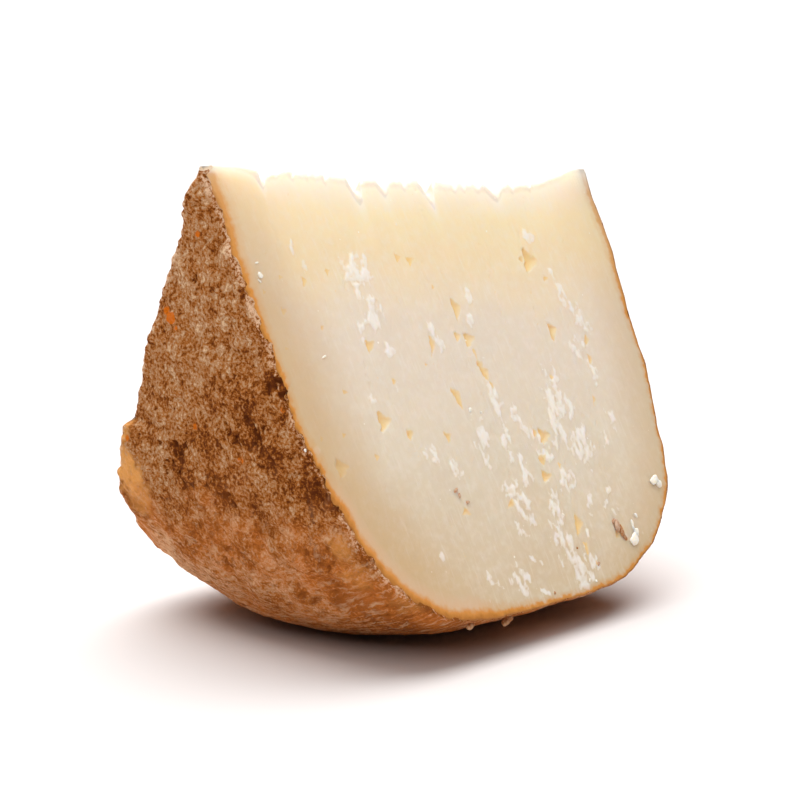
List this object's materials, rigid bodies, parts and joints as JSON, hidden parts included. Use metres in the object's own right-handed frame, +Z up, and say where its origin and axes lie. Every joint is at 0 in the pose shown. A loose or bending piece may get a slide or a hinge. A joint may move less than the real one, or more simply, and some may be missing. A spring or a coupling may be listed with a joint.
{
  "type": "semi-cured cheese wedge",
  "caption": "Wedge of semi-cured cheese with a mouldy rind, standing on its curved rim with the thin cut edge up; crumbly pale yellow paste with small eyes.",
  "frame": {"origin": "on the floor under the middle of the wedge, at the small flat of the rim on which it rests", "axes": "+X along the wheel's axis and the ridge, from the rind face that shows to the other one; -Y out of the cut that faces the viewer; +Z up to the thin cut edge"},
  "size_m": [0.0916, 0.0652, 0.0761],
  "materials": {
    "cheese": "matte crumbly cheese paste inside a rough mouldy natural rind"
  },
  "bodies": {
    "root": {"cheese_wedge": "cheese"}
  },
  "joints": []
}
